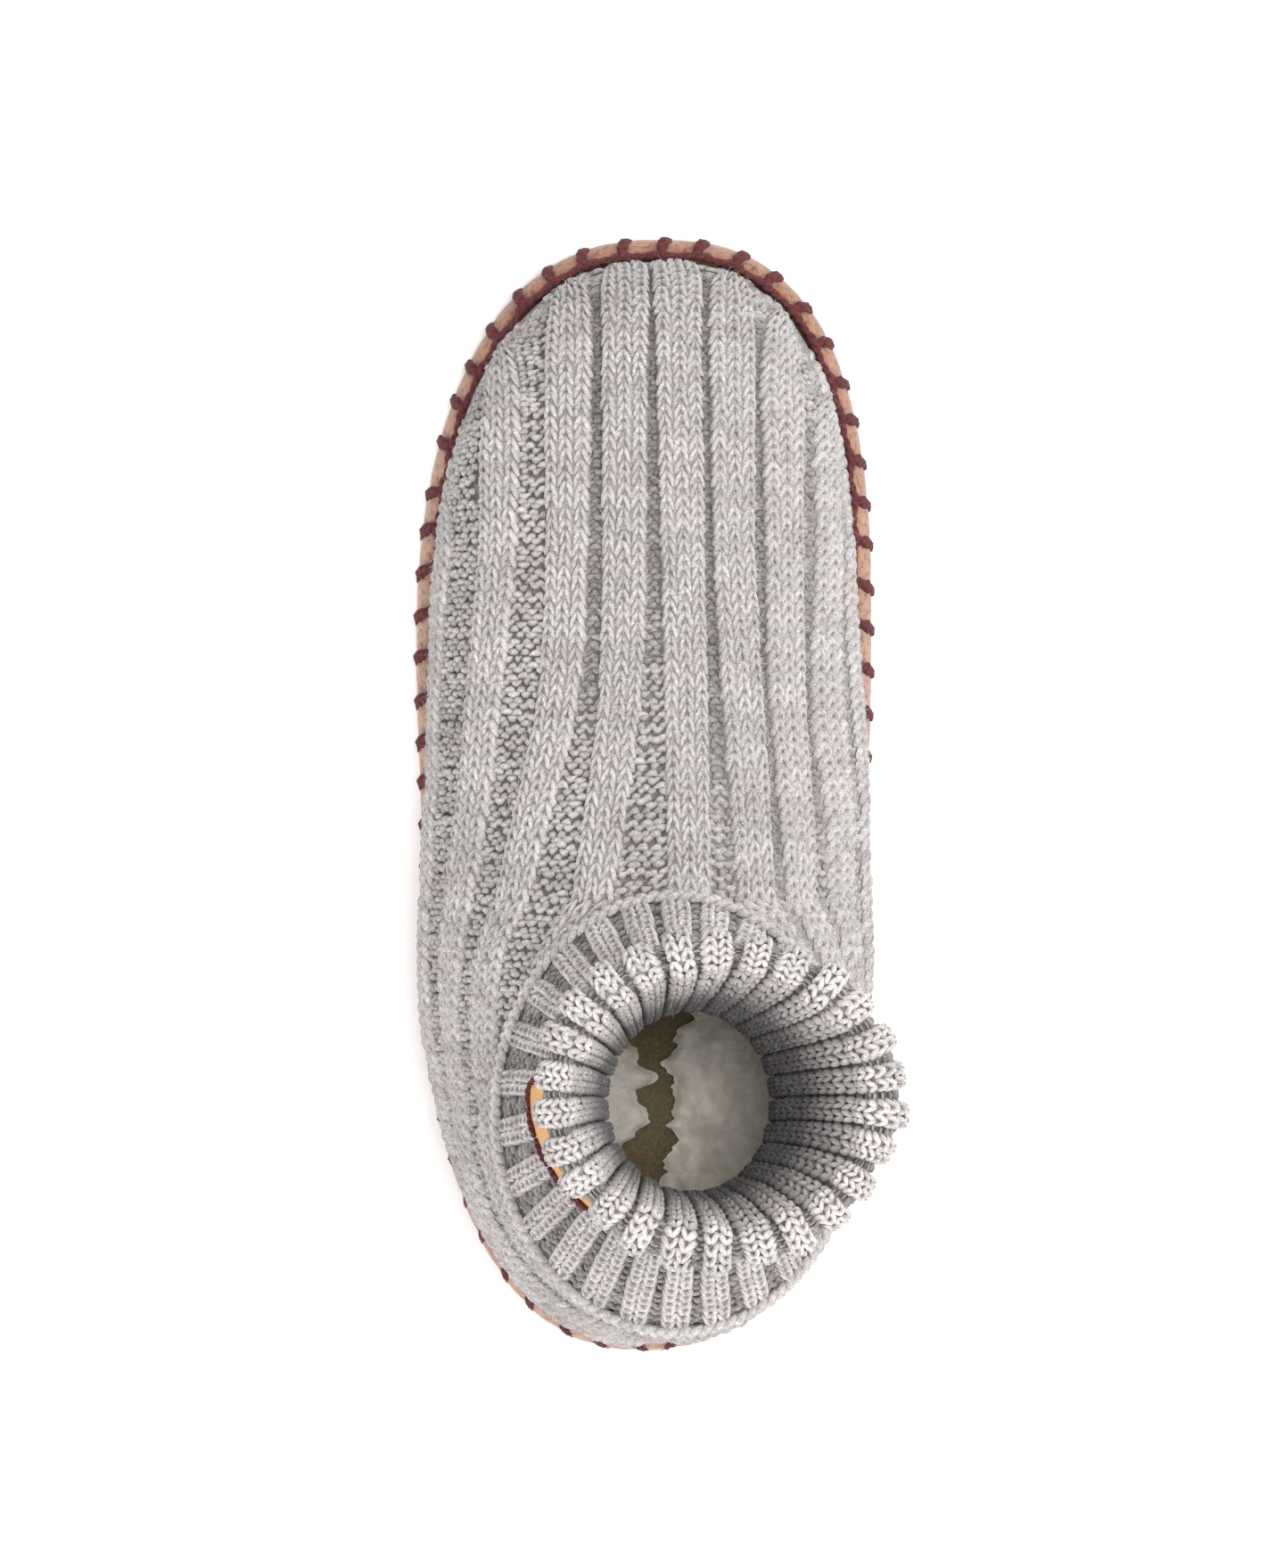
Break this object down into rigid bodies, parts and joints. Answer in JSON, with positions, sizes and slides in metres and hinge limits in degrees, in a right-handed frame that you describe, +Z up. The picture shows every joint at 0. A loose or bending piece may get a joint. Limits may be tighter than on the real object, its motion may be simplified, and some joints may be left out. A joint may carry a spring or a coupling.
{
  "type": "bootie slipper",
  "caption": "Left knit bootie slipper: ribbed wool upper on a turned-up suede sole with blanket stitching, fleece lining and a pinched, flared ribbed ankle cuff.",
  "frame": {"origin": "on the floor plane, under the middle of the sole's length", "axes": "+Y towards the toe, +X towards the wearer's right (the big-toe side of this left slipper), +Z up"},
  "size_m": [0.1078, 0.2598, 0.1454],
  "materials": {
    "suede": "napped, dry, matt tan suede",
    "felt": "matt olive-brown felt",
    "grey_knit": "wide-rib wool knit in mixed greys",
    "grey_rib_knit": "two-by-two rib wool knit in mixed greys",
    "tan_leather": "smooth matt orange-tan leather"
  },
  "bodies": {
    "root": {"sole": "suede", "insole": "felt", "upper": "grey_knit", "cuff": "grey_rib_knit", "side_patch": "tan_leather"}
  },
  "joints": []
}
